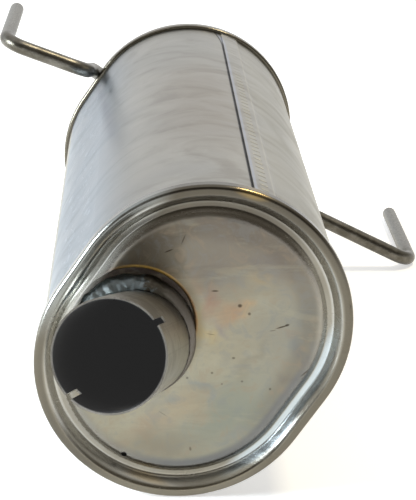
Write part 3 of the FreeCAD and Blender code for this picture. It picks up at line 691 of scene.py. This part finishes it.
def weld_material():
    """Weld metal: bluish where it's clean, brown with scale, dull low and right at the inlet."""
    material, tree, shader = surface("weld_bead")
    at = place(tree)
    parts = axes(tree, at)
    scale = noise(tree, at, 0.16, 4.0, 0.6, 0.5)
    fine = noise(tree, at, 0.9, 4.0, 0.7)
    clean = blend(tree, fine, rgb(0.46, 0.50, 0.52), rgb(0.74, 0.79, 0.81))
    scaled = blend(tree, fine, rgb(0.34, 0.32, 0.28), rgb(0.48, 0.455, 0.41))
    side = spread(tree, parts["X"], -34.0, -16.0, 0.25, -0.25)
    colour = blend(tree, spread(tree, calc(tree, "ADD", scale, side), 0.42, 0.58), scaled, clean)
    colour = blend(tree, spread(tree, parts["Y"], 200.0, 300.0), colour, scaled)
    plain = calc(tree, "MAXIMUM", spread(tree, parts["X"], -18.0, -8.0),
                 spread(tree, parts["Z"], 16.0, 4.0))
    plain = times(tree, plain, spread(tree, parts["Y"], 60.0, 80.0, 1.0, 0.0))
    dull = blend(tree, fine, rgb(0.44, 0.41, 0.38), rgb(0.52, 0.495, 0.46))
    feed(tree, shader, {
        "Base Color": blend(tree, plain, colour, dull),
        "Metallic": spread(tree, plain, 0.0, 1.0, 0.75, 0.35),
        "Roughness": spread(tree, fine, 0.3, 0.7, 0.28, 0.46),
    })
    emboss(tree, shader, fine, WELD_RELIEF)
    return material


def soot_material():
    """The inner pieces, dark with soot."""
    material, tree, shader = surface("inner_soot", 0.0)
    grain = noise(tree, place(tree), 0.08)
    feed(tree, shader, {
        "Base Color": blend(tree, grain, rgb(0.12, 0.12, 0.12), rgb(*SOOT)),
        "Roughness": 0.9,
        "Emission Color": WHITE,
        "Emission Strength": SOOT_GLOW,
    })
    return material


def add_object(name, data):
    """A new object in the scene."""
    made = bpy.data.objects.new(name, data)
    bpy.context.scene.collection.objects.link(made)
    return made


def add_smooth(name, mesh, dressing):
    """A smooth object with one finish."""
    for face in mesh.polygons:
        face.use_smooth = True
    mesh.materials.clear()
    mesh.materials.append(dressing)
    return add_object(name, mesh)


def oval_outline(radius):
    """Points round the oval at one radius, in millimetres: an arc at each end, straight sides."""
    tilt = math.radians(OVAL_TILT)
    points = []
    for end, half_turn in ((1, 0.0), (-1, math.pi)):
        for step in range(WALL_STEPS + 1):
            angle = tilt + math.pi * (step / WALL_STEPS - 0.5) + half_turn
            points.append((end * ARC_X + radius * math.cos(angle),
                           end * ARC_Z + radius * math.sin(angle)))
    return points


def make_rim_wall(dressing):
    """The rounded wall from the rim's crest down into the groove, drawn over the plain one."""
    vertices = []
    for radius, depth in WALL_PROFILE:
        vertices += [CENTRE + Vector((x, depth, z)) / 1000 for x, z in oval_outline(radius)]
    count = len(vertices) // len(WALL_PROFILE)
    faces = []
    for row in range(len(WALL_PROFILE) - 1):
        outer, inner = row * count, (row + 1) * count
        for step in range(count):
            after = (step + 1) % count
            faces.append((outer + step, outer + after, inner + after, inner + step))
    mesh = bpy.data.meshes.new("rim_wall")
    mesh.from_pydata(vertices, [], faces)
    piece = add_smooth("rim_wall", mesh, dressing)
    smooth = piece.modifiers.new("smooth", "SUBSURF")
    smooth.levels = WALL_SMOOTHING
    smooth.render_levels = WALL_SMOOTHING
    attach(piece, "root")


def even_copy(name):
    """A copy of a piece's mesh with small faces of even size."""
    rough = add_object(name + "_plain", frame["nodes"][name].data.copy())
    remesh = rough.modifiers.new("remesh", "REMESH")
    remesh.mode = "VOXEL"
    remesh.voxel_size = BEAD_VOXEL
    depsgraph = bpy.context.evaluated_depsgraph_get()
    even = bpy.data.meshes.new_from_object(rough.evaluated_get(depsgraph))
    bpy.data.objects.remove(rough)
    return even


def ramp(value, start, length):
    """0 up to the start, then rising to 1 over the length."""
    return min(max((value - start) / length, 0.0), 1.0)


def make_bead(name, middle, axis, dressing):
    """A rippled and lumpy weld in place of its plain solid. With no axis, it ripples outward."""
    mesh = even_copy(name)
    normals = [vertex.normal.copy() for vertex in mesh.vertices]
    if axis:
        side = axis.orthogonal().normalized()
        other = axis.cross(side)
    for vertex, normal in zip(mesh.vertices, normals):
        offset = vertex.co - middle
        if axis:
            run = math.atan2(offset.dot(other), offset.dot(side)) * BEAD_TURN
            strength = (ramp(offset.z, BEAD_LOW, BEAD_LOW_FADE)
                        * ramp(-offset.x, -BEAD_RIGHT, BEAD_RIGHT_FADE))
        else:
            run = math.hypot(offset.x, offset.z)
            strength = 1.0
        wander = RIPPLE_WANDER * noise_at(offset * WANDER_SCALE)
        height = (BEAD_RIPPLE * abs(math.sin(math.pi * (run / BEAD_PITCH + wander)))
                  + BEAD_LUMP * noise_at(offset * LUMP_SCALE)
                  + BEAD_PIT * noise_at(offset * PIT_SCALE))
        vertex.co += normal * (strength * height - BEAD_SINK)
    piece = add_smooth(name + "_bead", mesh, dressing)
    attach(piece, "root")
    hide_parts(name)


def seen_directly(tree):
    """1 for what the camera, a gloss or a clear part sees, 0 for what only lights the object."""
    path = node(tree, "ShaderNodeLightPath").outputs
    both = calc(tree, "MAXIMUM", path["Is Camera Ray"], path["Is Glossy Ray"])
    return calc(tree, "MAXIMUM", both, path["Is Transmission Ray"])


def make_floor():
    """A plain pale floor that shows white and keeps the shadow."""
    mesh = bpy.data.meshes.new("floor")
    corners = [(x * FLOOR_HALF, y * FLOOR_HALF, 0) for x, y in ((-1, -1), (1, -1), (1, 1), (-1, 1))]
    mesh.from_pydata(corners, [], [(0, 1, 2, 3)])
    material, tree, shader = surface("floor_white", 0.0)
    feed(tree, shader, {
        "Base Color": FLOOR_COLOUR,
        "Roughness": 1.0,
        "Specular IOR Level": 0.0,
        "Emission Color": WHITE,
        "Emission Strength": times(tree, seen_directly(tree), FLOOR_GLOW),
    })
    mesh.materials.append(material)
    floor = add_object("floor", mesh)


def make_world():
    """Soft light from all round: bluish on the left, duller on the right and high up in front."""
    world = bpy.data.worlds.new("studio")
    bpy.context.scene.world = world
    world.use_nodes = True
    tree = world.node_tree
    tree.nodes.clear()
    way = axes(tree, node(tree, "ShaderNodeTexCoord").outputs["Generated"])
    backdrop = blend(tree, spread(tree, way["X"], -0.75, -0.3), SKY_LEFT, SKY_BEHIND)
    right = times(tree, spread(tree, way["X"], 0.4, 0.8), spread(tree, way["Z"], 0.10, 0.25))
    backdrop = blend(tree, right, backdrop, SKY_RIGHT)
    dull = times(tree, band(tree, way["Z"], 0.06, 0.20, 0.80, 0.97),
                 spread(tree, way["Y"], -0.6, 0.0, 1.0, 0.0), spread(tree, way["X"], -0.94, -0.80))
    backdrop = blend(tree, dull, backdrop, SKY_FRONT)
    light, shown = (node(tree, "ShaderNodeBackground", {"Color": backdrop, "Strength": strength})
                    for strength in (SKY_LIGHT, 1.0))
    mixed = node(tree, "ShaderNodeMixShader", {0: seen_directly(tree), 1: light.outputs[0],
                                               2: shown.outputs[0]})
    node(tree, "ShaderNodeOutputWorld", {"Surface": mixed.outputs[0]})


def make_lamp(name, where, size, power, colour):
    """A soft square lamp that faces the body."""
    light = bpy.data.lights.new(name, "AREA")
    light.size = size
    light.energy = power
    light.color = colour
    lamp = add_object(name, light)
    lamp.location = where
    lamp.rotation_euler = (Vector(LAMP_AIM) - Vector(where)).to_track_quat("-Z", "Y").to_euler()


def make_camera():
    """The camera where the photograph was taken from."""
    data = bpy.data.cameras.new("camera")
    data.lens = CAMERA_LENS
    data.sensor_width = CAMERA_SENSOR
    data.clip_start = CAMERA_NEAR
    data.clip_end = CAMERA_FAR
    camera = add_object("camera", data)
    right = Vector(CAMERA_RIGHT).normalized()
    up = Vector(CAMERA_UP).normalized()
    turn = Matrix((right, up, right.cross(up))).transposed().to_4x4()
    where = CENTRE + Vector((-CAMERA_LEFT, -CAMERA_BACK, CAMERA_RISE))
    camera.matrix_world = Matrix.Translation(where) @ turn
    bpy.context.scene.camera = camera


pipe = pipe_material()
rod = rod_material()
weld = weld_material()
soot = soot_material()
dress("outer_shell", shell_material())
front_sheet = cap_material(front=True)
dress("front_end_cap", front_sheet)
make_rim_wall(front_sheet)
dress("rear_end_cap", cap_material(front=False))
for name in ("inlet_pipe", "outlet_pipe"):
    dress(name, pipe)
for name in ("hanger_left", "hanger_right"):
    dress(name, rod)
for name in ("inlet", "outlet"):
    mount = mounts[name]
    make_bead(name + "_weld", Vector(mount["pos_m"]), Vector(mount["axis"]).normalized(), weld)
for name in ("hanger_left_weld", "hanger_right_weld"):
    make_bead(name, CENTRE, None, weld)
for name in INNER_PIECES:
    dress(name, soot)

make_floor()
make_world()
make_lamp("key", *KEY_LAMP)
make_lamp("top", *TOP_LAMP)
make_camera()
bpy.context.scene.view_settings.view_transform = "Standard"
